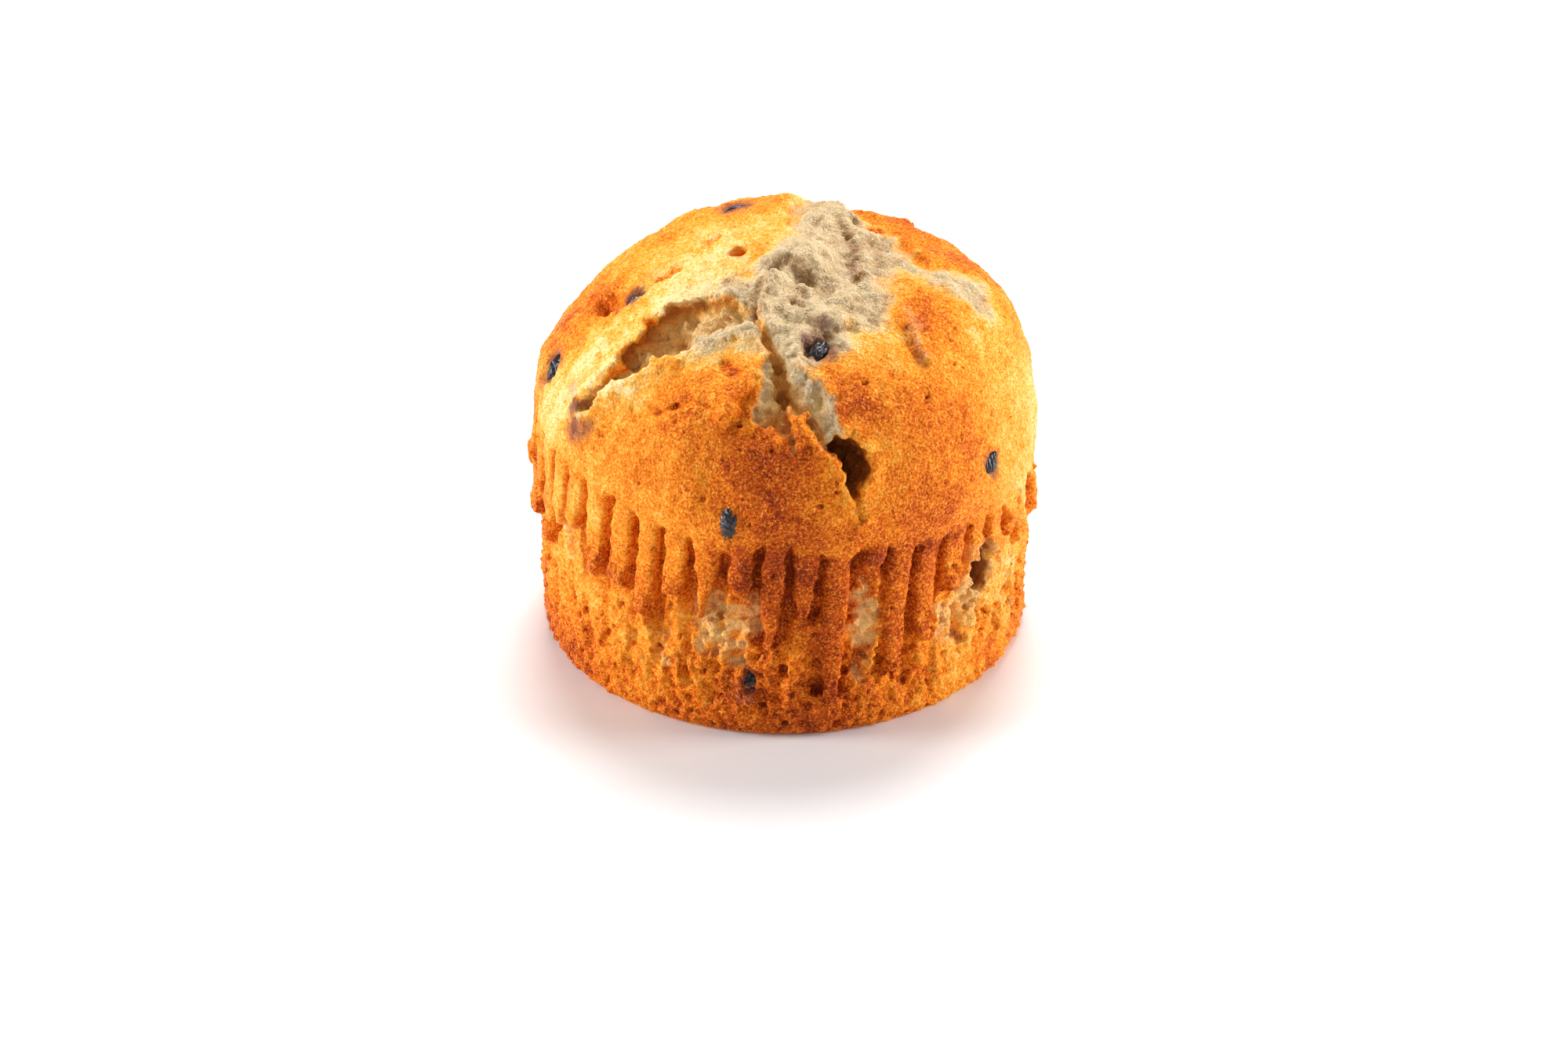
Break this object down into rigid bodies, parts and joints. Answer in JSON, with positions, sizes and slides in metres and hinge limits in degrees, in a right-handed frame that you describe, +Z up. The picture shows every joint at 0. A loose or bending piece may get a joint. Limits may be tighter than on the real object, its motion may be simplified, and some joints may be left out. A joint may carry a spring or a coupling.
{
  "type": "blueberry muffin",
  "caption": "Large blueberry muffin baked in one piece, with a straight pleated side where its paper case was peeled off and a domed top whose crust has split.",
  "frame": {"origin": "centre of the flat underside that the muffin rests on", "axes": "+Z up through the dome; -Y is the front, down which the longer tear in the crust runs; +X is to the right seen from the front"},
  "size_m": [0.0848, 0.085, 0.0717],
  "materials": {
    "crust": "golden-brown baked crust over pale open crumb, matte with a fine grain"
  },
  "bodies": {
    "root": {"muffin": "crust"}
  },
  "joints": []
}
